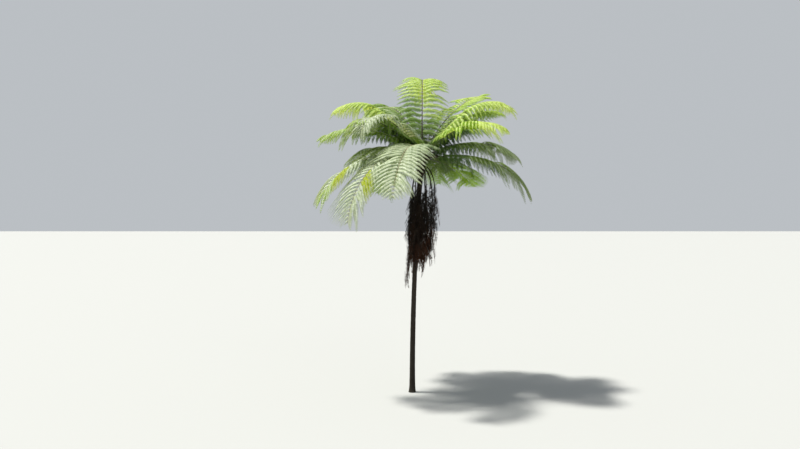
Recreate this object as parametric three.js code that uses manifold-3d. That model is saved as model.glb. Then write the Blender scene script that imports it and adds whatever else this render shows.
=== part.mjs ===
import * as THREE from "three";
import { mergeVertices } from "three/addons/utils/BufferGeometryUtils.js";
import Module from "manifold-3d";

// A tree fern: a slender dark trunk, a crown of arching fronds and a skirt of dead ones.
// Millimetres, +Z up. The trunk's foot is cut flat at the origin and the viewer stands on the -Y side.

const wasm = await Module();
wasm.setup();

// Trunk: how far the head leans off the foot, and the radius at each height.
const HEAD_HEIGHT = 5720;
const LEAN_RIGHT = 235;
const LEAN_FRONT = -20;
const TRUNK_SIDES = 14;
const TRUNK_RADII = [
  [0, 84], [60, 73], [180, 66], [450, 62], [1000, 60], [1800, 57], [2600, 53], [3400, 51],
  [4200, 53], [4800, 57], [5200, 64], [5420, 80], [5560, 96], [5680, 102], [5770, 92], [5840, 66],
];
const TRUNK_TOP = 5875;
const SEAT_GAP = 0.3;

// Live fronds: compass angle, climb at the foot, turn down by the tip, lateness of the turn, length, and how
// far the leaflets sag beside their length.
const LIVE_FRONDS = {
  top_back: [88, 80, 150, 1.9, 3790, 0.6],
  back_right_up: [46, 51, 41, 1.55, 3040, 0.45],
  back_left_up: [124, 58, 100, 2.0, 2850, 0.6],
  right_upper: [14, 49, 91, 2.8, 2820, 0.95],
  right_mid: [-30, 39, 67, 1.55, 2280, 0.75],
  right_back_mid: [34, 40, 53, 2.6, 2850, 0.8],
  right_low: [8, 24, 62, 1.5, 2440, 0.85],
  right_droop: [-6, 4, 76, 2.0, 2840, 0.85],
  right_back_low: [55, 2, 26, 0.8, 2660, 0.5],
  front_left: [255, 28, 92, 0.8, 3150, 0.5],
  left_front_low: [222, 18, 100, 0.85, 3080, 0.78],
  left_low: [198, 10, 76, 1.2, 2920, 0.85],
  left_upper: [176, 38, 67, 1.3, 2620, 0.75],
  left_front_up: [216, 44, 144, 2.9, 2200, 0.7],
  left_mid_up: [201, 40, 80, 2.8, 2000, 0.7],
  left_back_up: [158, 54, 91, 2.05, 2880, 0.85],
  left_back_mid: [138, 24, 62, 1.3, 2500, 0.8],
  back_mid: [100, 36, 86, 1.3, 2800, 0.8],
  back_low: [116, 8, 56, 1.3, 2800, 0.85],
  back_right_low: [78, 14, 58, 1.3, 2700, 0.8],
};
const RIB_STEPS = 24;
const START_RADIUS = [72, 30];
const START_HEIGHT = [-110, 70];
const STEEPEST_CLIMB = 80;
const BEND_PAIR = 7;

// Dead fronds: compass angle, drop of the foot under the head, reach, swing in at the tip, length, and how
// much is left of the leaflets' length.
const DEAD_FRONDS = {
  front: [266, 310, 270, 30, 2140, 1],
  front_right: [296, 260, 310, 110, 2180, 0.8],
  right_front: [325, 320, 370, 170, 1950, 0.5],
  right: [355, 265, 390, 190, 1850, 0.45],
  right_back: [28, 325, 360, 160, 1900, 0.5],
  back_right: [68, 270, 310, 90, 2150, 0.8],
  back: [108, 315, 270, 30, 2140, 1],
  back_left: [150, 260, 270, 0, 2250, 1],
  left: [192, 320, 270, -60, 2750, 0.6],
  front_left: [232, 265, 270, 0, 2200, 1],
};
const DEAD_START_RADIUS = 55;
const DEAD_FOLD_SHARE = 0.16;

// Leaflets of a live and of a dead frond: how many pairs, the bare share of the rib, the longest, how far
// they lean forward at the foot and at the tip, how far they rise, and the size of rib and blade. Towards the
// tip the pairs crowd together.
const LIVE = {
  pairs: 16, bare: 0.11, longest: 720, lean: [12, 36], leanPlay: 8, lift: [0.28, 0.42], play: 0.1,
  rib: [13, 9, 3], root: 26, halfWidth: 58, slimness: 0.12, bareStations: 3,
};
const DEAD = {
  pairs: 10, bare: 0.3, longest: 540, lean: [62, 67], leanPlay: 4, lift: [-0.15, 0.15], play: 0.4,
  rib: [12, 8, 3], root: 12, halfWidth: 23, slimness: 0.1, bareStations: 8,
};
const DEAD_SAG = 0.1;
const CROWDING = 0.14;
const BLADE_THICKNESS = 8;
const PARTS_TRIED = [1, 0.9, 0.8, 0.7, 0.6, 0.5, 0.4, 0.3];
const CLEARANCE = 16;
const TRUNK_CLEARANCE = 120;

const TRUNK_BROWN = 0x33271d;
const DEAD_BROWN = 0x3a2a1a;
const BRIGHT_GREEN = 0x8fa83a;
const SHADED_GREEN = 0x5f7d35;
const GREY_GREEN = 0x8d9f78;
const BRIGHT_FRONDS = [
  "top_back", "back_right_up", "right_upper", "right_mid", "left_back_up", "right_back_low",
];
const GREY_FRONDS = ["front_left", "left_front_low", "left_low", "left_front_up"];

const radians = THREE.MathUtils.degToRad;
const mix = THREE.MathUtils.lerp;
const along = (compass, out, up) =>
  new THREE.Vector3(Math.cos(compass) * out, Math.sin(compass) * out, up);

// One repeatable number from 0 to 1 for each whole-number key.
function dice(key) {
  let state = ((key + 1) * 48271) % 2147483647;
  state = (state * 16807) % 2147483647;
  state = (state * 16807) % 2147483647;
  return state / 2147483647;
}

// Closed solid through rings of equally many points. A ring of one point closes its end.
function loft(rings) {
  const points = rings.flat();
  const faces = [];
  let first = 0;
  rings.slice(1).forEach((ring, i) => {
    const near = rings[i].length;
    const next = first + near;
    const count = Math.max(near, ring.length);
    for (let k = 0; k < count; k += 1) {
      const after = (k + 1) % count;
      if (near > 1) faces.push(first + k, first + after, next + (ring.length > 1 ? after : 0));
      if (ring.length > 1) faces.push(first + (near > 1 ? k : 0), next + after, next + k);
    }
    first = next;
  });
  for (let k = 1; k + 1 < rings[0].length; k += 1) faces.push(0, k + 1, k);
  for (let k = 1; k + 1 < rings.at(-1).length; k += 1) faces.push(first, first + k, first + k + 1);
  return solidOf(new THREE.BufferGeometry().setFromPoints(points).setIndex(faces));
}

function solidOf(geometry) {
  const merged = mergeVertices(geometry, 1e-3);
  return new wasm.Manifold(
    new wasm.Mesh({
      numProp: 3,
      vertProperties: new Float32Array(merged.attributes.position.array),
      triVerts: new Uint32Array(merged.index.array),
    }),
  );
}

function meshOf(name, solid, colour, roughness) {
  const data = solid.getMesh();
  const geometry = new THREE.BufferGeometry();
  geometry.setAttribute("position", new THREE.BufferAttribute(data.vertProperties, 3));
  geometry.setIndex(new THREE.BufferAttribute(data.triVerts, 1));
  const material = new THREE.MeshStandardMaterial({ color: colour, roughness, metalness: 0 });
  const mesh = new THREE.Mesh(geometry, material);
  mesh.name = name;
  return mesh;
}

// The trunk's middle line leans more and more towards the head.
function trunkCentre(height) {
  const share = (height / HEAD_HEIGHT) ** 2;
  return new THREE.Vector3(LEAN_RIGHT * share, LEAN_FRONT * share, height);
}

function trunkSolid(growth) {
  const rings = TRUNK_RADII.map(([height, radius], i) => {
    const centre = trunkCentre(height - (i === 0 ? growth : 0));
    return Array.from({ length: TRUNK_SIDES }, (_, k) =>
      along((2 * Math.PI * k) / TRUNK_SIDES, radius + growth, 0).add(centre));
  });
  return loft([...rings, [trunkCentre(TRUNK_TOP + growth)]]);
}

// A frond's rib: points along it, and the level direction across it.
function liveRib([compass, climb, turn, lateness, length, sag]) {
  const heading = radians(compass);
  const steepness = climb / STEEPEST_CLIMB;
  const foot = along(heading, mix(...START_RADIUS, steepness), mix(...START_HEIGHT, steepness));
  const points = [foot.add(trunkCentre(HEAD_HEIGHT))];
  for (let i = 0; i < RIB_STEPS; i += 1) {
    const slope = radians(climb - turn * ((i + 0.5) / RIB_STEPS) ** lateness);
    const step = along(heading, Math.cos(slope), Math.sin(slope)).multiplyScalar(length / RIB_STEPS);
    points.push(points[i].clone().add(step));
  }
  const across = new THREE.Vector3(-Math.sin(heading), Math.cos(heading), 0);
  return { points, length, across, sag, fullness: 1 };
}

// A dead frond's rib leaves the head, folds over and hangs, swinging in a little at its end.
function deadRib([compass, drop, reach, swing, length, fullness]) {
  const heading = radians(compass);
  const foot = trunkCentre(HEAD_HEIGHT - drop).add(along(heading, DEAD_START_RADIUS, 0));
  const points = Array.from({ length: RIB_STEPS + 1 }, (_, i) => {
    const share = i / RIB_STEPS;
    const fold = 1 - Math.exp(-share / DEAD_FOLD_SHARE);
    return along(heading, (reach - DEAD_START_RADIUS) * fold - swing * share ** 2, 0)
      .add(new THREE.Vector3(0, 0, -length * share * (0.55 + 0.45 * fold)))
      .add(foot);
  });
  const across = new THREE.Vector3(-Math.sin(heading), Math.cos(heading), 0);
  return { points, length, across, sag: DEAD_SAG, fullness };
}

// The point at a share of the rib's length, and the direction it runs in there.
function pointOn(points, share) {
  const place = Math.min(share, 0.99999) * (points.length - 1);
  const step = Math.floor(place);
  return points[step].clone().lerp(points[step + 1], place - step);
}

function directionOn(points, share) {
  const reach = 0.5 / (points.length - 1);
  const before = pointOn(points, Math.max(share - reach, 0));
  return pointOn(points, Math.min(share + reach, 1)).sub(before).normalize();
}

// Length of the leaflets along the frond: two thirds at its foot, full at two fifths, nothing at the tip.
function leafletShare(u) {
  if (u < 0.4) return 1 - 0.34 * (1 - u / 0.4) ** 2;
  return Math.max(1 - ((u - 0.4) / 0.6) ** 2.3, 0) ** 0.85;
}

function deadLeafletShare(u) {
  return 0.8 + 0.4 * u - 0.75 * u * u;
}

// The pairs of leaflets of one frond, each with the share of the rib that it stands at.
function leafletPairs(rib, kind, profile, number) {
  return Array.from({ length: kind.pairs }, (_, i) => {
    const u = (i + 0.3) / kind.pairs;
    const share = kind.bare + (1 - kind.bare) * (u + CROWDING * u * (1 - u));
    const sides = [1, -1].map((side) => {
      const key = number * 100 + 2 * i + (side + 1) / 2;
      return {
        share,
        side,
        lean: radians(mix(...kind.lean, u) + kind.leanPlay * (dice(key) - 0.5)),
        length: kind.longest * rib.fullness * profile(u) * (1 + kind.play * (dice(key + 5000) - 0.5)),
        lift: mix(...kind.lift, dice(key + 9000)),
      };
    });
    return { share, sides };
  });
}

// Stations down a leaflet: it leaves the rib sideways and forwards, and sags as it goes.
function leafletStations(rib, kind, leaflet, part, shares) {
  const root = pointOn(rib.points, leaflet.share);
  const forward = directionOn(rib.points, leaflet.share);
  const upright = forward.clone().cross(rib.across);
  const start = rib.across.clone().multiplyScalar(leaflet.side * Math.cos(leaflet.lean))
    .addScaledVector(forward, Math.sin(leaflet.lean))
    .addScaledVector(upright, leaflet.lift);
  const length = leaflet.length * part;
  const widest = Math.min(kind.halfWidth, kind.slimness * length);
  return shares.map((r) => {
    const middle = root.clone().addScaledVector(start, length * r);
    middle.z -= rib.sag * length * r * r;
    const run = start.clone();
    run.z -= 2 * rib.sag * r;
    run.normalize();
    const wide = forward.clone().addScaledVector(run, -forward.dot(run)).setLength(-leaflet.side);
    const under = wide.clone().cross(run);
    return { middle, wide, under, halfWidth: widest * widthShare(r) };
  });
}

// Width of a leaflet along its length: half at the rib, full near the middle, nothing at the tip.
function widthShare(r) {
  if (r < 0.45) return 0.5 + 0.5 * Math.sin((r / 0.45) * (Math.PI / 2));
  return Math.max(1 - ((r - 0.45) / 0.55) ** 1.6, 0);
}

// The part of its length that a leaflet keeps, so that it stays nearer its own rib than any other.
function partKept(rib, kind, leaflet, others) {
  const own = finePoints(rib);
  return PARTS_TRIED.find((part) =>
    leafletStations(rib, kind, leaflet, part, [0.25, 0.4, 0.55, 0.7, 0.85, 1]).every((station) =>
      [-1, 0, 1].every((edge) => {
        const point = station.middle.clone().addScaledVector(station.wide, edge * station.halfWidth);
        const trunk = trunkCentre(Math.min(point.z, TRUNK_TOP));
        return point.distanceTo(trunk) > TRUNK_CLEARANCE
          && nearest(point, others) - nearest(point, own) > CLEARANCE;
      }))) ?? 0;
}

function nearest(point, points) {
  const least = points.reduce((best, other) => Math.min(best, other.distanceToSquared(point)), Infinity);
  return Math.sqrt(least);
}

function finePoints(rib) {
  return Array.from({ length: 3 * RIB_STEPS + 1 }, (_, i) => pointOn(rib.points, i / (3 * RIB_STEPS)));
}

// The three corners of a rib's section, flat above and keeled below: left, right and keel.
function ribSection(rib, kind, share) {
  const [foot, bare, tip] = kind.rib;
  const radius = share < kind.bare
    ? mix(foot, bare, share / kind.bare)
    : mix(bare, tip, (share - kind.bare) / (1 - kind.bare));
  const middle = pointOn(rib.points, share);
  const upright = directionOn(rib.points, share).cross(rib.across).normalize();
  return [[1, 0.5], [-1, 0.5], [0, -1.1]].map(([wide, high]) =>
    middle.clone().addScaledVector(rib.across, wide * radius).addScaledVector(upright, high * radius));
}

// A four-cornered face as two triangles, folded outwards where it isn't flat.
function outerFaces(points, a, b, c, d) {
  const [ab, ac, ad] = [b, c, d].map((corner) => points[corner].clone().sub(points[a]));
  return ab.cross(ac).dot(ad) > 0 ? [a, b, d, b, c, d] : [a, b, c, a, c, d];
}

// One closed skin: a three-sided rib whose sides run out into a thin blade at each leaflet kept.
function frondSkin(rib, kind, pairs, from, to) {
  const points = [];
  const faces = [];
  const add = (point) => points.push(point) - 1;
  const blade = (root, leaflet) => {
    const [half, tip] = leafletStations(rib, kind, leaflet, leaflet.part, [0.5, 1]);
    const ring = [
      add(half.middle.clone().addScaledVector(half.wide, half.halfWidth)),
      add(half.middle.clone().addScaledVector(half.wide, -half.halfWidth)),
      add(half.middle.clone().addScaledVector(half.under, BLADE_THICKNESS)),
    ];
    const end = add(tip.middle);
    root.forEach((corner, k) => {
      const after = (k + 1) % 3;
      faces.push(...outerFaces(points, corner, root[after], ring[after], ring[k]));
      faces.push(ring[k], ring[after], end);
    });
  };
  const reach = kind.root / rib.length;
  const kept = pairs.filter(({ share }) => share > from && share < to);
  const foot = Array.from({ length: from > 0 ? 0 : kind.bareStations }, (_, i) =>
    (kind.bare * (i + 0.7)) / kind.bareStations);
  const shares = [from, ...foot, ...kept.flatMap(({ share }) => [share - reach, share + reach]), to];
  const rows = shares.map((share) => ribSection(rib, kind, share).map(add));
  rows.slice(1).forEach(([left, right, keel], i) => {
    const [leftBefore, rightBefore, keelBefore] = rows[i];
    const pair = kept.find(({ share }) => shares[i] < share && shares[i + 1] > share);
    faces.push(rightBefore, right, left, rightBefore, left, leftBefore);
    faces.push(left, keel, keelBefore, keelBefore, keel, right);
    [[leftBefore, left, keelBefore], [right, rightBefore, keelBefore]].forEach((root, side) => {
      if (pair?.sides[side].part) blade(root, pair.sides[side]);
      else faces.push(...root);
    });
  });
  const [left, right, keel] = rows.at(-1);
  faces.push(rows[0][1], rows[0][0], rows[0][2], left, right, keel);
  return solidOf(new THREE.BufferGeometry().setFromPoints(points).setIndex(faces));
}

function colourOf(name) {
  if (BRIGHT_FRONDS.includes(name)) return BRIGHT_GREEN;
  return GREY_FRONDS.includes(name) ? GREY_GREEN : SHADED_GREEN;
}

function buildFern() {
  const fern = new THREE.Group();
  const head = trunkSolid(SEAT_GAP);
  const live = Object.entries(LIVE_FRONDS).map(([name, sizes]) => ({ name, rib: liveRib(sizes) }));
  const dead = Object.entries(DEAD_FRONDS).map(([name, sizes]) => ({ name, rib: deadRib(sizes) }));
  const fine = [...live, ...dead].map(({ rib }) => finePoints(rib));
  const pairsOf = (rib, kind, profile, number) => {
    const others = fine.filter((_, i) => i !== number).flat();
    const pairs = leafletPairs(rib, kind, profile, number);
    pairs.forEach(({ sides }) => sides.forEach((leaflet) => {
      leaflet.part = partKept(rib, kind, leaflet, others);
    }));
    return pairs;
  };

  fern.add(meshOf("trunk", trunkSolid(0), TRUNK_BROWN, 0.95));
  live.forEach(({ name, rib }, number) => {
    const pairs = pairsOf(rib, LIVE, leafletShare, number);
    const bend = (pairs[BEND_PAIR - 1].share + pairs[BEND_PAIR].share) / 2;
    const inner = frondSkin(rib, LIVE, pairs, 0, bend).subtract(head);
    const outer = frondSkin(rib, LIVE, pairs, bend + SEAT_GAP / rib.length, 1);
    fern.add(meshOf("frond_" + name + "_inner", inner, colourOf(name), 0.6));
    fern.add(meshOf("frond_" + name + "_outer", outer, colourOf(name), 0.6));
  });
  dead.forEach(({ name, rib }, i) => {
    const pairs = pairsOf(rib, DEAD, deadLeafletShare, live.length + i);
    const frond = frondSkin(rib, DEAD, pairs, 0, 1).subtract(head);
    fern.add(meshOf("dead_frond_" + name, frond, DEAD_BROWN, 0.9));
  });
  return fern;
}

export default buildFern();
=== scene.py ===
# %% [markdown]
# # A tall tree fern
#
# A tree fern is one slender trunk with a wheel of long fronds at its top. Each frond is cut three times: a
# dark rib carries pairs of leaflets, each leaflet has its own midrib with two rows of small leaves, and each
# small leaf is cut into lobes. Old fronds die, fold down and hang round the trunk as a brown skirt.
#
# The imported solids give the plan: the trunk, every rib and broad blades for leaflets. This script keeps the
# same ribs and the same kind of rule, and grows more and finer leaflets on them. The solids could be smoothed
# or covered with a picture of leaves instead, but leaves in their own outline look right from every side and
# let the sky through.

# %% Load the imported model
import math

import bpy
import numpy as np
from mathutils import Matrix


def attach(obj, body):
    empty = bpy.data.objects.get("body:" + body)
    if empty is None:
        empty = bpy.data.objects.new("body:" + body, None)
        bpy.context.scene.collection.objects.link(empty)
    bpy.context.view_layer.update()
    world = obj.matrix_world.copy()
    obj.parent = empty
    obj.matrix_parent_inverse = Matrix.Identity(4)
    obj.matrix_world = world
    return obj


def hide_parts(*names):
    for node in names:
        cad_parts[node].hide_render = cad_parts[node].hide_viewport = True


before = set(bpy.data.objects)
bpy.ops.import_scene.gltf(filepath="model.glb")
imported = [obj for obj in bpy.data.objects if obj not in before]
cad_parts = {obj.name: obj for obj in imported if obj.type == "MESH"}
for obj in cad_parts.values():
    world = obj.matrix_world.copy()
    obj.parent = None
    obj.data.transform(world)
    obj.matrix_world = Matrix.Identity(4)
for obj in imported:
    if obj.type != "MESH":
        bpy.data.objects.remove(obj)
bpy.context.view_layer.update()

# %% [markdown]
# ## Camera
#
# The picture is taken from about 17 metres away, level, with the eye near half the height of the plant. The
# lens is given by the picture's width: 708 pixels of distance for 800 pixels of width, on a 36 mm sensor.
# Looking level keeps the trunk upright, with no tilt that would make it lean back.

# %% Stand the camera in front
EYE = (-0.295, -17.0, 4.02)
LENS_MM = 36.0 * 708.0 / 800.0


def add_object(name, data):
    """Wraps data in an object at the origin and links it to the scene."""
    made = bpy.data.objects.new(name, data)
    bpy.context.scene.collection.objects.link(made)
    return made


camera = add_object("camera", bpy.data.cameras.new("camera"))
camera.data.lens = LENS_MM
camera.data.sensor_width = 36.0
camera.data.clip_end = 1000.0
camera.location = EYE
camera.rotation_euler = (math.radians(90), 0, 0)
bpy.context.scene.camera = camera
print("lens", round(LENS_MM, 2), "mm")

# %% [markdown]
# ## Materials as expressions
#
# A finish is a small graph of nodes. Written node by node it is long and hard to read, so one class wraps an
# output and turns `+`, `-`, `*` into Math nodes, and another adds any other node in one call.

# %% Helpers for the shader graphs
class Link:
    """An output of a finish's graph. Arithmetic on it adds Math nodes to that graph."""

    def __init__(self, finish, output):
        self.finish = finish
        self.output = output

    def math(self, operation, first, second):
        """One Math node on two values, each a number or a Link."""
        return self.finish.add("Math", {"operation": operation}, {0: first, 1: second})

    def __add__(self, other):
        return self.math("ADD", self, other)

    def __sub__(self, other):
        return self.math("SUBTRACT", self, other)

    def __rsub__(self, other):
        return self.math("SUBTRACT", other, self)

    def __mul__(self, other):
        return self.math("MULTIPLY", self, other)

    __radd__ = __add__
    __rmul__ = __mul__


class Finish:
    """A material that is built by adding nodes in code."""

    def __init__(self, name):
        self.material = bpy.data.materials.new(name)
        self.material.use_nodes = True
        self.nodes = self.material.node_tree.nodes
        self.links = self.material.node_tree.links
        self.nodes.clear()

    def add(self, kind, settings, sockets, output=0):
        """Adds a node, sets its settings, then its sockets' values or links. Gives one output of it."""
        node = self.nodes.new("ShaderNode" + kind)
        for name, value in settings.items():
            setattr(node, name, value)
        for name, value in sockets.items():
            if isinstance(value, Link):
                self.links.new(value.output, node.inputs[name])
            else:
                node.inputs[name].default_value = value
        return Link(self, node.outputs[output])

    def mix_colours(self, share, first, second):
        """The first colour where share is 0, and the second where it is 1."""
        settings = {"data_type": "RGBA", "clamp_factor": True}
        return self.add("Mix", settings, {0: share, 6: first, 7: second}, 2)

    def wear(self, surface):
        """Ends the graph with this surface and gives the material."""
        end = self.nodes.new("ShaderNodeOutputMaterial")
        self.links.new(surface.output, end.inputs["Surface"])
        return self.material


# %% [markdown]
# ## Floor and light
#
# The plant stands on a plain pale floor. The photograph is lit by a high sun, so that the upper fronds glow and
# their undersides stay deep. A sun stands high and a little to the left, with its disc widened for soft edges.
# A weak wide lamp from the front and a pale surround fill the shade.

# %% Lay the floor
def add_mesh(name, points, triangles, materials, worn=None, smooth=False):
    """Makes a mesh object from whole arrays: points by rows, triangles by rows of three point numbers."""
    mesh = bpy.data.meshes.new(name)
    mesh.vertices.add(len(points))
    mesh.vertices.foreach_set("co", np.asarray(points, np.float32).ravel())
    mesh.loops.add(triangles.size)
    mesh.loops.foreach_set("vertex_index", np.asarray(triangles, np.int32).ravel())
    mesh.polygons.add(len(triangles))
    mesh.polygons.foreach_set("loop_start", np.arange(0, triangles.size, 3, dtype=np.int32))
    mesh.polygons.foreach_set("use_smooth", np.full(len(triangles), smooth))
    if worn is not None:
        mesh.polygons.foreach_set("material_index", np.asarray(worn, np.int32))
    for material in materials:
        mesh.materials.append(material)
    mesh.update(calc_edges=True)
    return add_object(name, mesh)


def sheet_triangles(rows, columns):
    """Two triangles for each cell of a grid whose points are numbered row by row."""
    corner = (np.arange(rows - 1)[:, None] * columns + np.arange(columns - 1)).ravel()
    lower = np.stack([corner, corner + 1, corner + columns + 1], -1)
    upper = np.stack([corner, corner + columns + 1, corner + columns], -1)
    return np.concatenate([lower, upper])


def floor_finish():
    """Matt pale grey, the same all over."""
    finish = Finish("pale_floor")
    surface = finish.add("BsdfPrincipled", {}, {"Base Color": (0.30, 0.31, 0.31, 1), "Roughness": 0.9})
    return finish.wear(surface)


FLOOR_HALF = 400.0
FLOOR_LINES = 9
FLOOR_HEIGHT = -0.002
line = np.linspace(-FLOOR_HALF, FLOOR_HALF, FLOOR_LINES)
flat = np.full((FLOOR_LINES, FLOOR_LINES), FLOOR_HEIGHT)
floor_points = np.stack([*np.meshgrid(line, line), flat], -1).reshape(-1, 3)
floor = add_mesh("floor", floor_points, sheet_triangles(FLOOR_LINES, FLOOR_LINES), [floor_finish()])
print("floor", 2 * FLOOR_HALF, "m square")

# %% Set the lights
def add_sun(name, towards, strength, disc, colour):
    """A sun that shines along the line from `towards`, a direction in the sky, down to the plant."""
    lamp = add_object(name, bpy.data.lights.new(name, "SUN"))
    lamp.data.energy = strength
    lamp.data.angle = math.radians(disc)
    lamp.data.color = colour
    east, north, up = towards
    lamp.rotation_euler = (math.atan2(math.hypot(east, north), up), 0, math.atan2(east, -north))


def sky_finish(colour, strength):
    """An even pale surround."""
    world = bpy.data.worlds.new("pale_surround")
    world.use_nodes = True
    world.node_tree.nodes["Background"].inputs["Color"].default_value = colour
    world.node_tree.nodes["Background"].inputs["Strength"].default_value = strength
    bpy.context.scene.world = world


add_sun("high_sun", (-0.38, 0.02, 0.92), 8.0, 5, (1.0, 0.96, 0.88))
add_sun("front_fill", (0.35, -0.8, 0.5), 0.35, 40, (0.93, 0.97, 1.0))
sky_finish((0.90, 0.95, 1.0, 1), 0.55)
bpy.context.scene.view_settings.view_transform = "Standard"
print("lamps:", len(bpy.data.lights))

# %% [markdown]
# ## The plan of the plant
#
# These are the driving sizes of the solids, in millimetres and degrees. Each live frond has a compass
# direction, the slope at which it leaves the head, how far it turns over by its tip, how late it does so, its
# length and how far its leaflets sag. Each dead frond has a direction, how far under the head it starts, how
# far out it hangs, how much it swings back to the trunk, its length and how much is left of its leaflets.

# %% Sizes of the trunk and the fronds
MM = 0.001
HEAD_HEIGHT, LEAN_RIGHT, LEAN_FRONT = 5720, 235, -20
TRUNK_TOP = 5875
TRUNK_RADII = [
    (0, 84), (60, 73), (180, 66), (450, 62), (1000, 60), (1800, 57), (2600, 53), (3400, 51),
    (4200, 53), (4800, 57), (5200, 64), (5420, 80), (5560, 96), (5680, 102), (5770, 92), (5840, 66),
]
START_RADIUS, START_HEIGHT = (72, 30), (-110, 70)
STEEPEST_CLIMB = 80
RIB_STEPS = 24
DEAD_START_RADIUS, DEAD_FOLD_SHARE = 55, 0.16

LIVE_FRONDS = {
    "top_back": (88, 80, 150, 1.9, 3790, 0.6),
    "back_right_up": (46, 51, 41, 1.55, 3040, 0.45),
    "back_left_up": (124, 58, 100, 2.0, 2850, 0.6),
    "right_upper": (14, 49, 91, 2.8, 2820, 0.95),
    "right_mid": (-30, 39, 67, 1.55, 2280, 0.75),
    "right_back_mid": (34, 40, 53, 2.6, 2850, 0.8),
    "right_low": (8, 24, 62, 1.5, 2440, 0.85),
    "right_droop": (-6, 4, 76, 2.0, 2840, 0.85),
    "right_back_low": (55, 2, 26, 0.8, 2660, 0.5),
    "front_left": (255, 28, 92, 0.8, 3150, 0.5),
    "left_front_low": (222, 18, 100, 0.85, 3080, 0.78),
    "left_low": (198, 10, 76, 1.2, 2920, 0.85),
    "left_upper": (176, 38, 67, 1.3, 2620, 0.75),
    "left_front_up": (216, 44, 144, 2.9, 2200, 0.7),
    "left_mid_up": (201, 40, 80, 2.8, 2000, 0.7),
    "left_back_up": (158, 54, 91, 2.05, 2880, 0.85),
    "left_back_mid": (138, 24, 62, 1.3, 2500, 0.8),
    "back_mid": (100, 36, 86, 1.3, 2800, 0.8),
    "back_low": (116, 8, 56, 1.3, 2800, 0.85),
    "back_right_low": (78, 14, 58, 1.3, 2700, 0.8),
}
DEAD_FRONDS = {
    "front": (266, 310, 270, 30, 2140, 1),
    "front_right": (296, 260, 310, 110, 2180, 0.8),
    "right_front": (325, 320, 370, 170, 1950, 0.5),
    "right": (355, 265, 390, 190, 1850, 0.45),
    "right_back": (28, 325, 360, 160, 1900, 0.5),
    "back_right": (68, 270, 310, 90, 2150, 0.8),
    "back": (108, 315, 270, 30, 2140, 1),
    "back_left": (150, 260, 270, 0, 2250, 1),
    "left": (192, 320, 270, -60, 2750, 0.6),
    "front_left": (232, 265, 270, 0, 2200, 1),
}
print(len(LIVE_FRONDS), "live fronds and", len(DEAD_FRONDS), "dead ones")

# %% [markdown]
# Leaflets follow one rule. Up the rib they lean forward more and more, their length swells and then runs out
# to the tip, and each one rises from the rib and then sags under its own weight. The solids have 16 pairs on a
# live frond and 10 on a dead one. Here there are more, with more play in their lean, lift and length, so they
# are other leaflets on the same ribs.
#
# Chance comes from whole-number keys, as in the solids, and each use adds its own number to the key. With this
# generator that only shifts the result by a fixed step, so two uses on the same key aren't independent. On the
# scales it gave lines, so they and the wisps use numpy's chance.

# %% How leaflets grow on live and dead ribs
LIVE = dict(pairs=26, bare=0.11, longest=720, lean=(12, 36), lean_play=15, lift=(0.2, 0.5), play=0.2)
DEAD = dict(pairs=24, bare=0.3, longest=540, lean=(58, 68), lean_play=12, lift=(-0.25, 0.2), play=0.6)
DEAD_SAG = 0.1
CROWDING = 0.14
PARTS_TRIED = (1, 0.9, 0.8, 0.7, 0.6, 0.5, 0.4, 0.3)
TRUNK_CLEARANCE = 0.12
NEIGHBOUR_REACH = 0.6
LIFT_KEY, LENGTH_KEY, SAG_KEY, TINT_KEY, WITHERED_KEY = 9000, 5000, 28000, 15000, 26000
LEAF_LEFT_KEY, LEAF_SIZE_KEY, LEAF_BEND_KEY, LEAF_TURN_KEY, LEAF_TWIST_KEY = 30000, 50000, 60000, 70000, 90000
print("pairs of leaflets:", LIVE["pairs"], "on a live frond and", DEAD["pairs"], "on a dead one")


def dice(key):
    """An even number from 0 to 1 for each whole-number key, the same ones as in the solids."""
    state = ((np.asarray(key, np.int64) + 1) * 48271) % 2147483647
    state = (state * 16807) % 2147483647
    return (state * 16807 % 2147483647) / 2147483647


def mix(pair, share):
    """The first of the pair at share 0 and the second at share 1."""
    return pair[0] + (pair[1] - pair[0]) * share


def unit(vectors):
    """Each vector divided by its length."""
    return vectors / np.linalg.norm(vectors, axis=-1, keepdims=True)


def dot(first, second):
    """The dot product along the last axis, kept as a column."""
    return np.sum(first * second, -1, keepdims=True)


def trunk_centre(height):
    """The axis of the trunk in metres: its lean grows with the square of the height in millimetres."""
    share = (np.asarray(height) / HEAD_HEIGHT) ** 2
    return np.stack([LEAN_RIGHT * share, LEAN_FRONT * share, height + 0 * share], -1) * MM


# %% [markdown]
# ## Ribs
#
# A live rib climbs away from the head and turns over under its own weight. Its slope falls with a power of the
# distance along it, so that a late frond stays straight and then bends sharply. Summing short steps along that
# slope gives the curve. A dead rib folds outwards just under the head and then hangs.

# %% Curve of every rib
def heading(compass):
    """The level direction of a compass angle, and the level direction to its left."""
    angle = math.radians(compass)
    return np.array([math.cos(angle), math.sin(angle), 0]), np.array([-math.sin(angle), math.cos(angle), 0])


def live_frond(compass, climb, turn, lateness, length, sag):
    """Start at the head, then add up steps whose slope is climb - turn * share ** lateness."""
    out, across = heading(compass)
    steepness = climb / STEEPEST_CLIMB
    foot = trunk_centre(HEAD_HEIGHT) + out * mix(START_RADIUS, steepness) * MM
    foot[2] += mix(START_HEIGHT, steepness) * MM
    share = (np.arange(RIB_STEPS) + 0.5) / RIB_STEPS
    slope = np.radians(climb - turn * share ** lateness)[:, None]
    steps = (out * np.cos(slope) + np.array([0, 0, 1]) * np.sin(slope)) * length * MM / RIB_STEPS
    rib = np.vstack([foot, foot + np.cumsum(steps, 0)])
    return dict(habit=LIVE, rib=rib, across=across, sag=sag, fullness=1)


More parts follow.
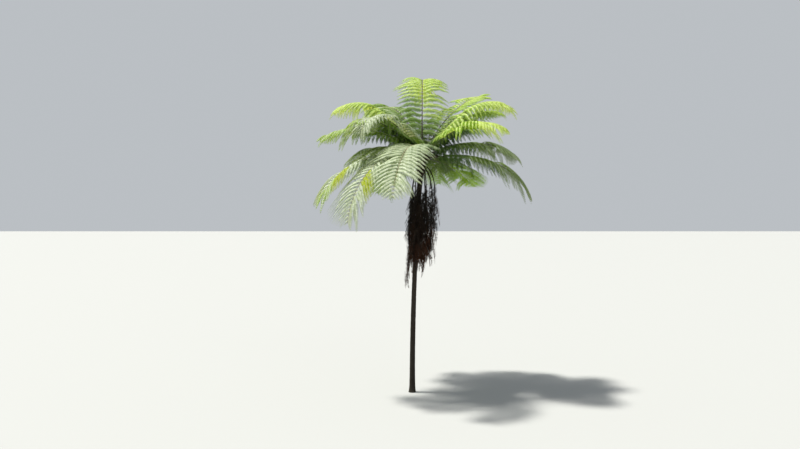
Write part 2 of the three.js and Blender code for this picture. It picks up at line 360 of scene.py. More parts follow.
def dead_frond(compass, drop, reach, swing, length, fullness):
    """Out by 1 - exp(-share / fold) and back by share squared, while the drop steepens in the same way."""
    out, across = heading(compass)
    foot = trunk_centre(HEAD_HEIGHT - drop) + out * DEAD_START_RADIUS * MM
    share = (np.arange(RIB_STEPS + 1) / RIB_STEPS)[:, None]
    fold = 1 - np.exp(-share / DEAD_FOLD_SHARE)
    sideways = out * ((reach - DEAD_START_RADIUS) * fold - swing * share ** 2) * MM
    down = np.array([0, 0, -1]) * length * share * (0.55 + 0.45 * fold) * MM
    return dict(habit=DEAD, rib=foot + sideways + down, across=across, sag=DEAD_SAG, fullness=fullness)


fronds = {"frond_" + name: live_frond(*sizes) for name, sizes in LIVE_FRONDS.items()}
fronds.update({"dead_frond_" + name: dead_frond(*sizes) for name, sizes in DEAD_FRONDS.items()})
for number, frond in enumerate(fronds.values()):
    frond["number"] = number
print("ribs:", len(fronds), "highest point", round(max(f["rib"][:, 2].max() for f in fronds.values()), 3))

# %% Places along a rib
def point_on(points, share):
    """The point at each share of the rib, straight between its stations."""
    place = np.clip(share, 0, 1) * RIB_STEPS
    stations = np.arange(RIB_STEPS + 1)
    return np.stack([np.interp(place, stations, points[:, axis]) for axis in range(3)], -1)


def direction_on(points, share):
    """The rib's direction at each share, from the points half a step behind and ahead."""
    half = 0.5 / RIB_STEPS
    return unit(point_on(points, share + half) - point_on(points, share - half))


def live_profile(u):
    """Length of a leaflet beside the longest: it swells over the first two fifths, then runs out."""
    swelling = 1 - 0.34 * (1 - u / 0.4) ** 2
    running_out = np.maximum(1 - (np.maximum(u - 0.4, 0) / 0.6) ** 2.3, 0) ** 0.85
    return np.where(u < 0.4, swelling, running_out)


def dead_profile(u):
    """A dead frond keeps its longest leaflets in the middle."""
    return 0.8 + 0.4 * u - 0.75 * u ** 2


front_tip = point_on(fronds["frond_front_left"]["rib"], 1.0)
print("the front frond ends at", [round(float(v), 3) for v in front_tip])

# %% [markdown]
# ## Leaflets
#
# Each leaflet is an arm that starts sideways from the rib, leans forward, lifts a little and then sags with
# the square of the distance along it. The solids keep every leaflet nearer to its own rib than to any other,
# because solids must not overlap. Here a leaflet may reach 60 cm past that line, so the leaves of neighbouring
# fronds cross in places. Only what would reach further, or into the trunk, is shortened in steps. A smaller
# NEIGHBOUR_REACH gives fewer crossings and a thinner crown.

# %% Grow the leaflets of one frond
def grow_leaflets(frond):
    """Arrays with one row a leaflet: its root, its start direction, its length and the rib's direction."""
    habit = frond["habit"]
    profile = live_profile if habit is LIVE else dead_profile
    pair = np.repeat(np.arange(habit["pairs"]), 2)
    side = np.tile([1, -1], habit["pairs"])
    key = frond["number"] * 100 + 2 * pair + (side + 1) // 2
    u = (pair + 0.3) / habit["pairs"]
    share = habit["bare"] + (1 - habit["bare"]) * (u + CROWDING * u * (1 - u))
    lean = np.radians(mix(habit["lean"], u) + habit["lean_play"] * (dice(key) - 0.5))[:, None]
    forward = direction_on(frond["rib"], share)
    upright = np.cross(forward, frond["across"])
    sideways = frond["across"] * side[:, None]
    lift = mix(habit["lift"], dice(key + LIFT_KEY))[:, None]
    start = sideways * np.cos(lean) + forward * np.sin(lean) + upright * lift
    longest = habit["longest"] * MM * frond["fullness"]
    length = longest * profile(u) * (1 + habit["play"] * (dice(key + LENGTH_KEY) - 0.5))
    root = point_on(frond["rib"], share)
    sag = frond["sag"] * (0.85 + 0.3 * dice(key + SAG_KEY))
    return dict(root=root, start=start, length=length, forward=forward, side=side, key=key, sag=sag, u=u)


def pick(leaflets, chosen):
    """The chosen rows of every array."""
    return {name: values[chosen] for name, values in leaflets.items()}


def middle_of(leaflets, r):
    """Point of the midrib at r: the root, plus the start direction, less a sag with the square of r."""
    length = leaflets["length"][:, None]
    point = leaflets["root"] + leaflets["start"] * length * r[:, None]
    point[:, 2] -= leaflets["sag"] * leaflets["length"] * r ** 2
    return point


def frame_of(leaflets, r):
    """At r: the midrib's run, the direction across the leaflet in the plane of the rib, and its upper side."""
    run = leaflets["start"].copy()
    run[:, 2] -= 2 * leaflets["sag"] * r
    run = unit(run)
    forward = leaflets["forward"]
    wide = unit(forward - dot(forward, run) * run) * -leaflets["side"][:, None]
    return run, wide, np.cross(run, wide)


# %% Shorten the leaflets that would reach far into a neighbour
PLACES_TRIED = (0.25, 0.4, 0.55, 0.7, 0.85, 1.0)
FINE_PLACES = np.linspace(0, 1, 3 * RIB_STEPS + 1)


def nearest(points, others):
    """The distance from each point to the nearest of the others, by |a|^2 + |b|^2 - 2 a.b."""
    squares = np.sum(points ** 2, -1)[:, None] + np.sum(others ** 2, -1) - 2 * points @ others.T
    return np.sqrt(np.maximum(squares.min(1), 0))


def fits(leaflets, own, others):
    """True for each leaflet whose midrib stays clear of the trunk and within reach of its own rib."""
    good = np.ones(len(leaflets["key"]), bool)
    for r in PLACES_TRIED:
        point = middle_of(leaflets, np.full(len(good), r))
        axis = trunk_centre(np.minimum(point[:, 2] / MM, TRUNK_TOP))
        good &= np.linalg.norm(point - axis, axis=-1) > TRUNK_CLEARANCE
        good &= nearest(point, others) - nearest(point, own) > -NEIGHBOUR_REACH
    return good


def fit_leaflets(name, fronds):
    """Tries each part of the full length in turn, and keeps the first that fits."""
    frond = fronds[name]
    fine = {n: point_on(f["rib"], FINE_PLACES) for n, f in fronds.items()}
    alive = frond["habit"] is LIVE
    others = np.vstack([fine[n] for n, f in fronds.items() if n != name and (f["habit"] is LIVE) == alive])
    leaflets = grow_leaflets(frond)
    full = leaflets["length"].copy()
    kept = np.zeros(len(full))
    for part in PARTS_TRIED:
        leaflets["length"] = full * part
        good = fits(leaflets, fine[name], others) & (kept == 0)
        kept[good] = part
    leaflets["length"] = full * kept
    return pick(leaflets, kept > 0)


for name in fronds:
    fronds[name]["leaflets"] = fit_leaflets(name, fronds)
print("leaflets:", sum(len(f["leaflets"]["key"]) for f in fronds.values()))

# %% [markdown]
# ## Small leaves
#
# Two rows of small leaves stand along each midrib, close enough to touch. They are fewer and probably wider
# than on a real plant, to keep the number of triangles down. Each is cut almost to its own vein into lobes. One
# template holds the lobes of a small leaf in two numbers, how far along and how far across, and every leaf of a
# frond is placed in one step by multiplying the template with the directions of its place.

# %% The template of one small leaf
LOBES = 4


def leaf_template(lobes):
    """Along (0 to 1) and across (-1 to 1) of every point, and the triangles: two for each lobe."""
    vein = np.arange(lobes + 1) / lobes
    place = np.arange(lobes)
    width = 1 - 0.62 * (place / lobes) ** 1.4
    inner, outer = (place + 0.22) / lobes, (place + 1.02) / lobes
    along = np.concatenate([vein, inner, outer, inner, outer])
    across = np.concatenate([0 * vein, width, 0.8 * width, -width, -0.8 * width])
    near, far = lobes + 1 + place, 2 * lobes + 1 + place
    left = [np.stack([place, place + 1, far], -1), np.stack([place, far, near], -1)]
    near, far = near + 2 * lobes, far + 2 * lobes
    right = [np.stack([place, far, place + 1], -1), np.stack([place, near, far], -1)]
    return along, across, np.concatenate(left + right)


LEAF_ALONG, LEAF_ACROSS, LEAF_TRIANGLES = leaf_template(LOBES)
INNER_LOBE = np.tile(np.arange(LOBES) == 0, 4)
print("a small leaf has", len(LEAF_TRIANGLES), "triangles")

# %% Place the small leaves of one frond
LEAF_SPACING = 0.022
FEWEST_LEAVES = 6
FULL_LEAFLET = 0.5
LIVE_LEAF = dict(longest=0.078, half_width=0.0124, droop=0.5, rise=0.1, turn=10, twist=60, left=1)
DEAD_LEAF = dict(longest=0.062, half_width=0.0115, droop=0.9, rise=0.1, turn=90, twist=200, left=0.9)


def leaf_places(leaflets):
    """For each small leaf: the row of its leaflet, its place r along the midrib, its side and its own key."""
    count = np.maximum(np.rint(leaflets["length"] / LEAF_SPACING).astype(int), FEWEST_LEAVES)
    row = np.repeat(np.arange(len(count)), count)
    number = np.arange(len(row)) - np.repeat(np.cumsum(count) - count, count)
    r = 0.02 + 0.97 * (number + 0.5) / count[row]
    row, r, number = np.repeat(row, 2), np.repeat(r, 2), np.repeat(number, 2)
    side = np.tile([1, -1], len(row) // 2)
    key = leaflets["key"][row] * 100 + number * 2 + (side + 1) // 2
    return row, r, side, key


def leaf_profile(r):
    """Length of a small leaf beside the longest: full over the first half of the leaflet, then running out."""
    return np.minimum(0.72 + 1.6 * r, 1) * np.maximum(1 - r ** 3.2, 0.0) ** 0.8 + 0.08


def place_leaves(leaflets, leaf):
    """Every small leaf's points: base + along * direction + a droop with along squared + across * width."""
    row, r, side, key = leaf_places(leaflets)
    left = dice(key + LEAF_LEFT_KEY) <= leaf["left"]
    row, r, side, key = row[left], r[left], side[left], key[left]
    mine = pick(leaflets, row)
    run, wide, up = frame_of(mine, r)
    angle = np.radians(78 - 30 * r + leaf["turn"] * (dice(key + LEAF_TURN_KEY) - 0.5))[:, None]
    direction = wide * side[:, None] * np.sin(angle) + run * np.cos(angle)
    twist = np.radians(leaf["twist"] * (dice(key + LEAF_TWIST_KEY) - 0.5))[:, None]
    across = unit(np.cross(up, direction)) * np.cos(twist) + up * np.sin(twist)
    size = np.minimum(mine["length"] / FULL_LEAFLET, 1) ** 0.45 * leaf_profile(r)
    size = size * (0.9 + 0.2 * dice(key + LEAF_SIZE_KEY))
    length = (leaf["longest"] * size)[:, None, None]
    half = (leaf["half_width"] * (0.5 + 0.5 * size))[:, None, None]
    bend = (leaf["droop"] * (0.6 + 0.8 * dice(key + LEAF_BEND_KEY)))[:, None, None]
    along, over = LEAF_ALONG[None, :, None], LEAF_ACROSS[None, :, None]
    points = middle_of(mine, r)[:, None] + length * (along - 0.2 * along ** 2) * direction[:, None]
    points = points + length * (leaf["rise"] * along - bend * along ** 2) * up[:, None]
    points = points + half * over * across[:, None] - half * 0.3 * np.abs(over) * up[:, None]
    triangles = LEAF_TRIANGLES + (np.arange(len(row)) * len(LEAF_ALONG))[:, None, None]
    return points.reshape(-1, 3), triangles.reshape(-1, 3), row


# %% [markdown]
# ## Greens
#
# Light and shade are painted into these greens. Leaves in painted sunlight are yellow-green, leaves in painted
# shade are deep green, and the fronds that face the open sky wear greys that paint its reflection; those are
# glossy as well, and every leaf lets some light through. On this many small leaves a painted pattern would be
# lost, so each leaflet wears one plain green, dealt out from the first three greens of its frond. They go from
# painted shade near the head to painted sunlight at the tip, and chance moves their borders. Outside the
# painted shade the inner end of every small leaf wears the fourth green, a painted highlight, so that each
# leaflet has a light line along its middle. On two fronds a painted patch of sunlight lies on a few leaflets of
# one side, from one share of the rib to another. They wear a bright yellow-green, so this patch stays where it
# is when the light changes.

# %% Leaf finishes
# These greens paint light and shade: the yellow ones and glow are painted sunlight, the deep ones painted
# shade, and the greys a painted reflection of the sky.
LEAF_GREENS = {
    "lemon": (0.41, 0.53, 0.13),
    "sunny": (0.26, 0.39, 0.07),
    "vivid": (0.16, 0.29, 0.008),
    "fresh": (0.15, 0.26, 0.045),
    "olive": (0.10, 0.165, 0.035),
    "deep": (0.05, 0.10, 0.022),
    "silver": (0.31, 0.38, 0.25),
    "grey": (0.22, 0.29, 0.165),
    "mist": (0.15, 0.22, 0.11),
    "pale_sheen": (0.42, 0.50, 0.38),
    "glow": (0.27, 0.34, 0.004),
}
GLOSSY_GREENS = ("silver", "grey", "mist", "pale_sheen")
GLOW_SHARE = 0.34


def leaf_finish(name, green):
    """A satin leaf with a share of light that passes through it, more yellow than what it reflects."""
    finish = Finish("leaf_" + name)
    red, mid, blue = green
    gloss = 0.5 if name in GLOSSY_GREENS else 0.25
    sockets = {"Base Color": (red, mid, blue, 1), "Roughness": 0.42, "Specular IOR Level": gloss}
    top = finish.add("BsdfPrincipled", {}, sockets)
    glow_colour = (min(red * 1.5, 1), min(mid * 1.35, 1), blue * 0.7, 1)
    glow = finish.add("BsdfTranslucent", {}, {"Color": glow_colour})
    return finish.wear(finish.add("MixShader", {}, {0: GLOW_SHARE, 1: top, 2: glow}))


leaf_finishes = {name: leaf_finish(name, green) for name, green in LEAF_GREENS.items()}
# Each frond's greens, in order: painted shade near the head, the middle, painted sunlight at the tip, and the
# painted highlight line. Fronds in the light get yellow greens, shaded fronds deep ones, and fronds facing the
# sky greys that paint its reflection.
FROND_GREENS = {
    "top_back": ("fresh", "sunny", "lemon", "lemon"),
    "back_right_up": ("olive", "vivid", "sunny", "lemon"),
    "back_left_up": ("olive", "fresh", "sunny", "grey"),
    "right_upper": ("olive", "sunny", "lemon", "lemon"),
    "right_mid": ("deep", "vivid", "lemon", "lemon"),
    "right_back_mid": ("deep", "fresh", "sunny", "sunny"),
    "right_low": ("deep", "olive", "grey", "grey"),
    "right_droop": ("deep", "olive", "grey", "grey"),
    "right_back_low": ("olive", "vivid", "vivid", "sunny"),
    "front_left": ("mist", "grey", "silver", "pale_sheen"),
    "left_front_low": ("mist", "grey", "silver", "pale_sheen"),
    "left_low": ("olive", "grey", "sunny", "pale_sheen"),
    "left_upper": ("deep", "fresh", "sunny", "grey"),
    "left_front_up": ("fresh", "grey", "silver", "pale_sheen"),
    "left_mid_up": ("deep", "fresh", "sunny", "grey"),
    "left_back_up": ("fresh", "sunny", "lemon", "lemon"),
    "left_back_mid": ("deep", "olive", "mist", "grey"),
    "back_mid": ("deep", "olive", "fresh", "fresh"),
    "back_low": ("deep", "olive", "fresh", "fresh"),
    "back_right_low": ("deep", "olive", "fresh", "fresh"),
}
# Painted patches of sunlight: the side of the rib, and the shares where each patch starts and ends.
SUNLIT = {"left_low": (1, 0.5, 0.7), "left_front_low": (1, 0.44, 0.62)}
print("greens:", ", ".join(LEAF_GREENS))

# %% [markdown]
# ## Rods
#
# Ribs and midribs are tapering rods. A rod is a ring carried along a path: at each station the ring's points
# are the path's point plus the radius times a cosine of one direction and a sine of another.

# %% Skin of many rods at once
def rods(paths, radii, sides, reference):
    """Rings round every path, joined by triangles and closed at both ends. Paths are rods by stations."""
    count, stations = paths.shape[:2]
    run = unit(np.gradient(paths, axis=1))
    first = unit(reference - dot(reference, run) * run)
    second = np.cross(run, first)
    turn = np.arange(sides) / sides * 2 * np.pi
    ring = first[:, :, None] * np.cos(turn)[:, None] + second[:, :, None] * np.sin(turn)[:, None]
    points = paths[:, :, None] + ring * radii[:, :, None, None]
    across = np.arange(sides)
    after = (across + 1) % sides
    row = (np.arange(stations - 1) * sides)[:, None]
    wall = np.concatenate([
        np.stack([row + across, row + after, row + sides + after], -1).reshape(-1, 3),
        np.stack([row + across, row + sides + after, row + sides + across], -1).reshape(-1, 3),
    ])
    fan = np.stack([0 * across[2:], across[1:-1], across[2:]], -1)
    one = np.concatenate([wall, fan[:, ::-1], fan + (stations - 1) * sides])
    triangles = one + (np.arange(count) * stations * sides)[:, None, None]
    return points.reshape(-1, 3), triangles.reshape(-1, 3)


def join(parts):
    """Several (points, triangles) as one, with each part's number beside its triangles."""
    starts = np.cumsum([0] + [len(points) for points, _ in parts[:-1]])
    points = np.vstack([points for points, _ in parts])
    triangles = np.vstack([triangles + start for (_, triangles), start in zip(parts, starts)])
    worn = np.concatenate([np.full(len(triangles), i) for i, (_, triangles) in enumerate(parts)])
    return points, triangles, worn


# %% Finishes of the ribs
def rib_finish(name, dark, light, roughness):
    """Smooth bark of a stalk: two browns in long streaks, with fine ridges along it."""
    finish = Finish(name)
    place = finish.add("TexCoord", {}, {}, 3)
    streaks = finish.add("TexNoise", {}, {"Vector": place, "Scale": 38.0, "Detail": 4.0})
    colour = finish.mix_colours(streaks * 1.8 - 0.5, dark, light)
    ridges = finish.add("Bump", {}, {"Strength": 0.35, "Distance": 0.004, "Height": streaks})
    sockets = {"Base Color": colour, "Roughness": roughness, "Normal": ridges, "Specular IOR Level": 0.3}
    return finish.wear(finish.add("BsdfPrincipled", {}, sockets))


# The dark rib finish is painted shade, worn by the ribs of rising fronds.
rib_dark = rib_finish("rib_dark", (0.012, 0.008, 0.006, 1), (0.045, 0.028, 0.016, 1), 0.55)
rib_straw = rib_finish("rib_straw", (0.10, 0.085, 0.04, 1), (0.34, 0.33, 0.19, 1), 0.5)
midrib_straw = rib_finish("midrib_straw", (0.20, 0.20, 0.08, 1), (0.38, 0.39, 0.20, 1), 0.5)
print("rib finishes: rib_dark, rib_straw, midrib_straw")

# %% [markdown]
# ## Live fronds
#
# Each frond is two pieces: its ribs and its small leaves. The rib is thick at the head and thins to the tip.
# Rising fronds show the underside of theirs, which is in shade, so their ribs wear a dark brown that is painted
# shade. Three low fronds at the front and left show the top, and their ribs are straw-coloured. Each leaflet's
# midrib is a fine rod that follows the leaflet's sag.

# %% Build the live fronds
RIB_RADII_MM = (17, 2.5)
RIB_STATIONS = 49
MIDRIB_RADII_MM = (3.6, 0.8)
MIDRIB_STATIONS = 9
TINT_BORDERS = (0.26, 0.6)


def rib_rod(frond, radii_mm, sides):
    """The frond's own rib, thinning with the power 1.2 of the distance left to its tip."""
    share = np.linspace(0, 1, RIB_STATIONS)
    path = point_on(frond["rib"], share)[None]
    radius = (radii_mm[1] + (radii_mm[0] - radii_mm[1]) * (1 - share) ** 1.2) * MM
    return rods(path, radius[None], sides, np.broadcast_to(frond["across"], path.shape))


def midrib_rods(leaflets, radii_mm):
    """A fine rod along every leaflet's midrib."""
    count = len(leaflets["key"])
    r = np.tile(np.linspace(0, 1, MIDRIB_STATIONS), count)
    mine = pick(leaflets, np.repeat(np.arange(count), MIDRIB_STATIONS))
    paths = middle_of(mine, r).reshape(count, MIDRIB_STATIONS, 3)
    wide = frame_of(mine, r)[1].reshape(paths.shape)
    radii = mix(radii_mm, r).reshape(count, MIDRIB_STATIONS) * MM
    return rods(paths, radii, 3, wide)


def dress(piece, nodes):
    """The piece rides with the plant and stands for these solids."""
    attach(piece, "root")
    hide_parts(*nodes)


def dealt(leaflets, rows):
    """The tint of each small leaf's leaflet, in a column: 0 near the head, then 1, and 2 near the tip. On live
    fronds these go from painted shade to painted light.
    """
    place = leaflets["u"] + 0.45 * (dice(leaflets["key"] + TINT_KEY) - 0.5)
    return np.searchsorted(TINT_BORDERS, place)[rows][:, None]


STRAW_RIBS = ("front_left", "left_front_low", "left_low")
# Slot 3 is the green of a painted highlight line, slot 4 that of a painted patch of sunlight.
SHEEN_LINE_TINT, SUN_PATCH_TINT = 3, 4


def build_live_frond(name):
    """Ribs and small leaves of one live frond. Gives the number of triangles."""
    frond = fronds["frond_" + name]
    leaflets = frond["leaflets"]
    nodes = ["frond_" + name + "_inner", "frond_" + name + "_outer"]
    parts = [rib_rod(frond, RIB_RADII_MM, 9), midrib_rods(leaflets, MIDRIB_RADII_MM)]
    points, triangles, worn = join(parts)
    # Painted shade: ribs of rising fronds wear the dark brown, the three that show their top wear straw.
    rib = rib_straw if name in STRAW_RIBS else rib_dark
    ribs = add_mesh("frond_" + name + "_ribs", points, triangles, [rib, midrib_straw], worn, True)
    dress(ribs, nodes)
    points, leaves, rows = place_leaves(leaflets, LIVE_LEAF)
    greens = [leaf_finishes[green] for green in (*FROND_GREENS[name], "glow")]
    tint = dealt(leaflets, rows)
    # Painted highlight: outside the painted shade, the inner lobes wear the line green.
    worn = np.where(INNER_LOBE & (tint > 0), SHEEN_LINE_TINT, tint)
    # Painted sunlight: a patch of leaflets on one side wears the bright yellow-green glow green.
    side, near, far = SUNLIT.get(name, (0, 0, 0))
    sun_patch = (leaflets["side"] == side) & (leaflets["u"] > near) & (leaflets["u"] < far)
    worn[sun_patch[rows]] = SUN_PATCH_TINT
    dress(add_mesh("frond_" + name + "_leaves", points, leaves, greens, worn.ravel()), nodes)
    return len(triangles) + len(leaves)


live_triangles = sum(build_live_frond(name) for name in LIVE_FRONDS)
print("live fronds:", live_triangles, "triangles")

# %% [markdown]
# ## Scales of the head
#
# The head and the feet of the fronds are wrapped in narrow dry scales, like coarse fur. A fur system could
# grow them, but a flat kite of two triangles for each scale is enough from a few metres, and it exports.

# %% Cover the head and the feet of the fronds with scales
HEAD_SCALES = 3000
HEAD_FUR_DEPTH_MM = 700
FOOT_SCALES = 170
FOOT_FUR_SHARE = 0.1
SCALE_LENGTH = (0.025, 0.06)
SCALE_HALF_WIDTH = 0.003
chance = np.random.default_rng(7)


def kites(roots, directions, lengths):
    """A flat kite for each root: a foot, two shoulders a third of the way up, and a tip."""
    across = unit(np.cross(directions, np.array([0.31, 0.22, 0.93]))) * SCALE_HALF_WIDTH
    shoulder = roots + directions * lengths / 3
    points = np.stack([roots, shoulder + across, roots + directions * lengths, shoulder - across], 1)
    triangles = np.array([[0, 1, 2], [0, 2, 3]]) + (np.arange(len(roots)) * 4)[:, None, None]
    return points.reshape(-1, 3), triangles.reshape(-1, 3)


def head_roots():
    """Places on the head, fewer downwards, and directions out of it, leaning upwards by chance."""
    heights, radii = np.array(TRUNK_RADII).T
    height = TRUNK_TOP - 5 - HEAD_FUR_DEPTH_MM * chance.uniform(0, 1, HEAD_SCALES) ** 1.5
    angle = chance.uniform(0, 2 * np.pi, HEAD_SCALES)
    out = np.stack([np.cos(angle), np.sin(angle), 0 * angle], -1)
    radius = np.interp(height, heights, radii)[:, None] * MM
    lean = np.array([0, 0, 0.9]) + chance.uniform(-0.4, 0.4, out.shape)
    return trunk_centre(height) + out * radius, unit(out + lean)


def foot_roots(frond):
    """Places round the foot of a live rib, fewer outwards, and directions out of it, leaning along the rib."""
    share = FOOT_FUR_SHARE * chance.uniform(0, 1, FOOT_SCALES) ** 1.5
    turn = chance.uniform(0, 2 * np.pi, (FOOT_SCALES, 1))
    forward = direction_on(frond["rib"], share)
    out = frond["across"] * np.cos(turn) + np.cross(forward, frond["across"]) * np.sin(turn)
    root = point_on(frond["rib"], share) + out * RIB_RADII_MM[0] * MM
    return root, unit(out + forward + chance.uniform(-0.4, 0.4, out.shape))


places = [head_roots()] + [foot_roots(fronds["frond_" + name]) for name in LIVE_FRONDS]
scale_roots, scale_directions = (np.vstack(rows) for rows in zip(*places))
scale_lengths = chance.uniform(*SCALE_LENGTH, (len(scale_roots), 1))
scale_points, scale_triangles = kites(scale_roots, scale_directions, scale_lengths)
scale_brown = rib_finish("scale_brown", (0.020, 0.012, 0.007, 1), (0.085, 0.050, 0.026, 1), 0.8)
dress(add_mesh("head_scales", scale_points, scale_triangles, [scale_brown]), ["trunk"])
print("scales:", len(scale_roots))

# %% [markdown]
# ## The skirt of dead fronds
#
# Dead fronds hang as dark bare stalks that end in a mat of curled brown leaflets. They are made by the same
# rule as the live ones, with the leaflets folded down along the stalk, and with small leaves that have
# shrivelled and twisted. A few longer wisps hang straight down from places all along each stalk.

# %% Wisps
WISPS = 12
WISP_LENGTH = (0.25, 0.75)
FIRST_WISP_KEY = 60


def wisps(frond):
    """Leaflets that hang nearly straight down, with the same arrays as the others."""
    key = frond["number"] * 100 + FIRST_WISP_KEY + np.arange(WISPS)
    share = 0.14 + 0.86 * ((np.arange(WISPS) + chance.uniform(0, 1, WISPS)) / WISPS) ** 0.8
    down = np.array([0, 0, -1]) + chance.uniform(-0.16, 0.16, (WISPS, 3))
    length = chance.uniform(*WISP_LENGTH, WISPS)
    level = np.broadcast_to(frond["across"], down.shape)
    side = np.ones(WISPS)
    root = point_on(frond["rib"], share)
    return dict(
        root=root, start=down, length=length, forward=level, side=side, key=key, sag=0 * length, u=share,
    )


def with_wisps(frond):
    """What is left of the leaflets of a dead frond, and its wisps."""
    left = dice(frond["leaflets"]["key"] + WITHERED_KEY) < frond["fullness"] ** 1.5
    leaflets, added = pick(frond["leaflets"], left), wisps(frond)
    return {name: np.concatenate([values, added[name]]) for name, values in leaflets.items()}


print("wisps:", WISPS, "on each of", len(DEAD_FRONDS), "dead fronds")

# %% Build the dead fronds
DEAD_RIB_RADII_MM = (15, 3)
DEAD_MIDRIB_RADII_MM = (3.2, 1.0)
# Dead leaves are brown, and these browns are darker still as painted shade, for the shade they hang in.
DEAD_BROWNS = {
    "char": (0.008, 0.006, 0.004),
    "umber": (0.017, 0.010, 0.006),
    "russet": (0.050, 0.020, 0.009),
}


def dead_leaf_finish(name, brown):
    """A dry matt leaf."""
    finish = Finish("dead_leaf_" + name)
    sockets = {"Base Color": (*brown, 1), "Roughness": 0.85, "Specular IOR Level": 0.2}
    return finish.wear(finish.add("BsdfPrincipled", {}, sockets))


dead_finishes = [dead_leaf_finish(name, brown) for name, brown in DEAD_BROWNS.items()]
# The stalks are dark brown, darkened further the same way as painted shade.
stalk_brown = rib_finish("stalk_brown", (0.006, 0.004, 0.003, 1), (0.030, 0.018, 0.011, 1), 0.8)


def build_dead_frond(name):
    """Stalk, midribs and shrivelled leaves of one dead frond. Gives the number of triangles."""
    frond = fronds["dead_frond_" + name]
    leaflets = with_wisps(frond)
    node = "dead_frond_" + name
    parts = [rib_rod(frond, DEAD_RIB_RADII_MM, 8), midrib_rods(leaflets, DEAD_MIDRIB_RADII_MM)]
    points, triangles, worn = join(parts)
    stalks = add_mesh(node + "_stalks", points, triangles, [stalk_brown], 0 * worn, True)
    dress(stalks, [node])
    points, leaves, rows = place_leaves(leaflets, DEAD_LEAF)
    worn = np.repeat(dealt(leaflets, rows), len(LEAF_TRIANGLES))
    dress(add_mesh(node + "_leaves", points, leaves, dead_finishes, worn), [node])
    return len(triangles) + len(leaves)


dead_triangles = sum(build_dead_frond(name) for name in DEAD_FRONDS)
print("dead fronds:", dead_triangles, "triangles")

# %% [markdown]
# ## Trunk
#
# The trunk of a tree fern is not wood with bark. It is covered with the scars of fallen fronds, each an oval
# with a raised rim, wound round it in spirals, and towards the ground with a mat of thin black roots. Both are
# real relief here, so they show at the trunk's edge: a radius for every height and angle, made from the
# plain taper plus the scars plus the roots.

# %% Relief of the trunk
TURNS = 96
ROWS = 1000
SCAR_TURN = math.radians(137.5)
SCAR_RISE = 0.0098
SCAR_HALF = (0.021, 0.031)
SCARS_TRIED = 13
RIM_HEIGHT, HOLLOW_DEPTH = 0.0038, 0.0060
SHOULDER, TOP = 5.84, TRUNK_TOP * MM
TOP_ROWS = 8


def trunk_radius(height):
    """The plain taper in metres, from the same heights and radii as the solid."""
    heights, radii = np.array(TRUNK_RADII).T
    plain = np.interp(height, heights * MM, radii * MM)
    top = np.clip((height - SHOULDER) / (TOP - SHOULDER), 0, 1)
    return plain * np.sqrt(1 - top ** 2)


def scar_relief(angle, height, radius):
    """For each point the nearest scar's oval distance q: a hollow inside q = 1 and a rim near q = 0.9."""
    number = np.rint(height / SCAR_RISE)
    nearest_q = np.full(angle.shape, 9.0)
    for step in range(-SCARS_TRIED, SCARS_TRIED + 1):
        scar = number + step
        turn = (angle - scar * SCAR_TURN + np.pi) % (2 * np.pi) - np.pi
        q = np.hypot(turn * radius / SCAR_HALF[0], (height - scar * SCAR_RISE) / SCAR_HALF[1])
        nearest_q = np.minimum(nearest_q, q)
    return nearest_q


def root_strands(angle, height):
    """Upright strands: waves round the trunk whose phase wanders slowly with height."""
    strands = 0 * angle
    for count, tall, size in ((13, 1.9, 1.0), (21, 3.1, 0.8), (34, 4.7, 0.6), (55, 7.9, 0.4)):
        wander = np.sin(height * tall + count) + 0.6 * np.sin(height * tall * 2.7 + 2 * count)
        strands = strands + size * np.abs(np.sin(count * angle / 2 + wander)) ** 0.7
    return strands / 2.8


def build_trunk():
    """A grid of angle by height, closed by its first column, with a flat foot and a rounded top."""
    wall, dome = np.linspace(0, SHOULDER, ROWS - TOP_ROWS), np.linspace(SHOULDER, TOP, TOP_ROWS + 1)[1:]
    height = np.concatenate([wall, dome])[:, None]
    angle = (np.arange(TURNS) / TURNS * 2 * np.pi)[None]
    radius = trunk_radius(height) + 0 * angle
    q = scar_relief(angle + 0 * height, height + 0 * angle, radius)
    scarred = np.clip((height - 0.9) / 2.2, 0.12, 1)
    rim = np.exp(-((q - 0.92) / 0.2) ** 2)
    hollow = np.clip(1 - q, 0, 1)
    rooted = 0.0018 + 0.0060 * np.exp(-height / 0.8) + 0.0022 * np.clip((5.2 - height) / 3, 0, 1)
    strands = root_strands(angle, height)
    fade = np.clip((5.87 - height) / 0.05, 0, 1)
    relief = scarred * (RIM_HEIGHT * rim - HOLLOW_DEPTH * hollow) + rooted * (strands - 0.6) * 2
    radius = np.maximum(radius + relief * fade, 0.0005)
    around = np.stack([np.cos(angle) * radius, np.sin(angle) * radius, 0 * radius], -1)
    points = trunk_centre(height / MM) + around
    points[..., 2] = height
    return points.reshape(-1, 3), (scarred * np.clip(1.15 - q, 0, 1)).ravel(), strands.ravel()


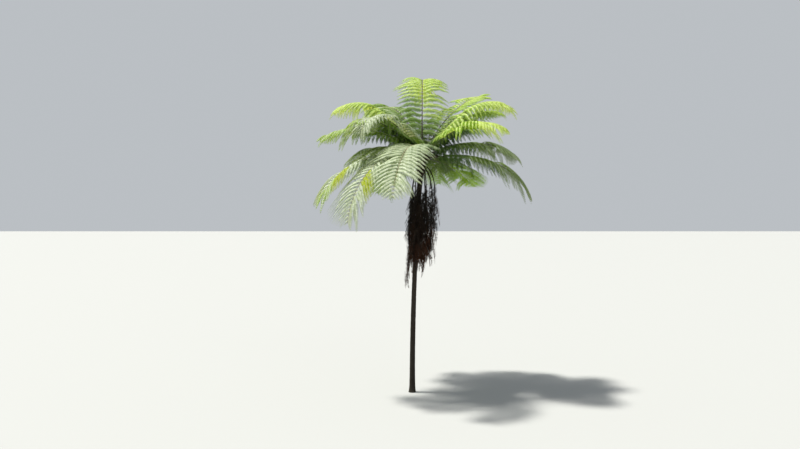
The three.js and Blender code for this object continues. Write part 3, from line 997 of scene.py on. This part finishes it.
def trunk_triangles():
    """The wall's cells, wrapped round, and a fan over the foot and the top."""
    column = np.arange(TURNS)
    after = (column + 1) % TURNS
    row = (np.arange(ROWS - 1) * TURNS)[:, None]
    lower = np.stack([row + column, row + after, row + TURNS + after], -1).reshape(-1, 3)
    upper = np.stack([row + column, row + TURNS + after, row + TURNS + column], -1).reshape(-1, 3)
    fan = np.stack([0 * column[2:], column[1:-1], column[2:]], -1)
    return np.concatenate([lower, upper, fan[:, ::-1], fan + (ROWS - 1) * TURNS])


print("scars:", round(TOP / SCAR_RISE))

# %% Finish of the trunk
def bark_finish():
    """Dark fibrous brown, paler inside the scars and along the tops of the roots."""
    finish = Finish("trunk_fibre")
    place = finish.add("TexCoord", {}, {}, 3)
    stretched = finish.add("Mapping", {}, {"Vector": place, "Scale": (1, 1, 0.12)})
    fibre = finish.add("TexNoise", {}, {"Vector": stretched, "Scale": 150.0, "Detail": 5.0})
    patches = finish.add("TexNoise", {}, {"Vector": place, "Scale": 5.0, "Detail": 3.0})
    scar = finish.add("Attribute", {"attribute_name": "scar"}, {}, 2)
    strand = finish.add("Attribute", {"attribute_name": "strand"}, {}, 2)
    # Painted shade: the trunk is dark brown, and its browns here are darker still for the shade it stands in.
    browns = finish.mix_colours(fibre * 1.6 - 0.4, (0.004, 0.004, 0.003, 1), (0.026, 0.019, 0.013, 1))
    weathered = finish.mix_colours(patches * strand * 0.9, browns, (0.040, 0.034, 0.025, 1))
    colour = finish.mix_colours(scar * 0.9, weathered, (0.070, 0.057, 0.042, 1))
    relief = fibre - scar * 0.8
    height = finish.add("Bump", {}, {"Strength": 0.8, "Distance": 0.008, "Height": relief})
    roughness = 0.75 + fibre * 0.25
    sockets = {"Base Color": colour, "Roughness": roughness, "Normal": height, "Specular IOR Level": 0.25}
    return finish.wear(finish.add("BsdfPrincipled", {}, sockets))


def add_attribute(piece, name, values):
    """Keeps one number a point on the piece, for its finish to read."""
    attribute = piece.data.attributes.new(name, "FLOAT", "POINT")
    attribute.data.foreach_set("value", values.astype(np.float32))


trunk_points, scar_values, strand_values = build_trunk()
trunk = add_mesh("trunk_bark", trunk_points, trunk_triangles(), [bark_finish()], None, True)
add_attribute(trunk, "scar", scar_values)
add_attribute(trunk, "strand", strand_values)
dress(trunk, ["trunk"])
print("trunk:", len(trunk.data.polygons), "triangles")
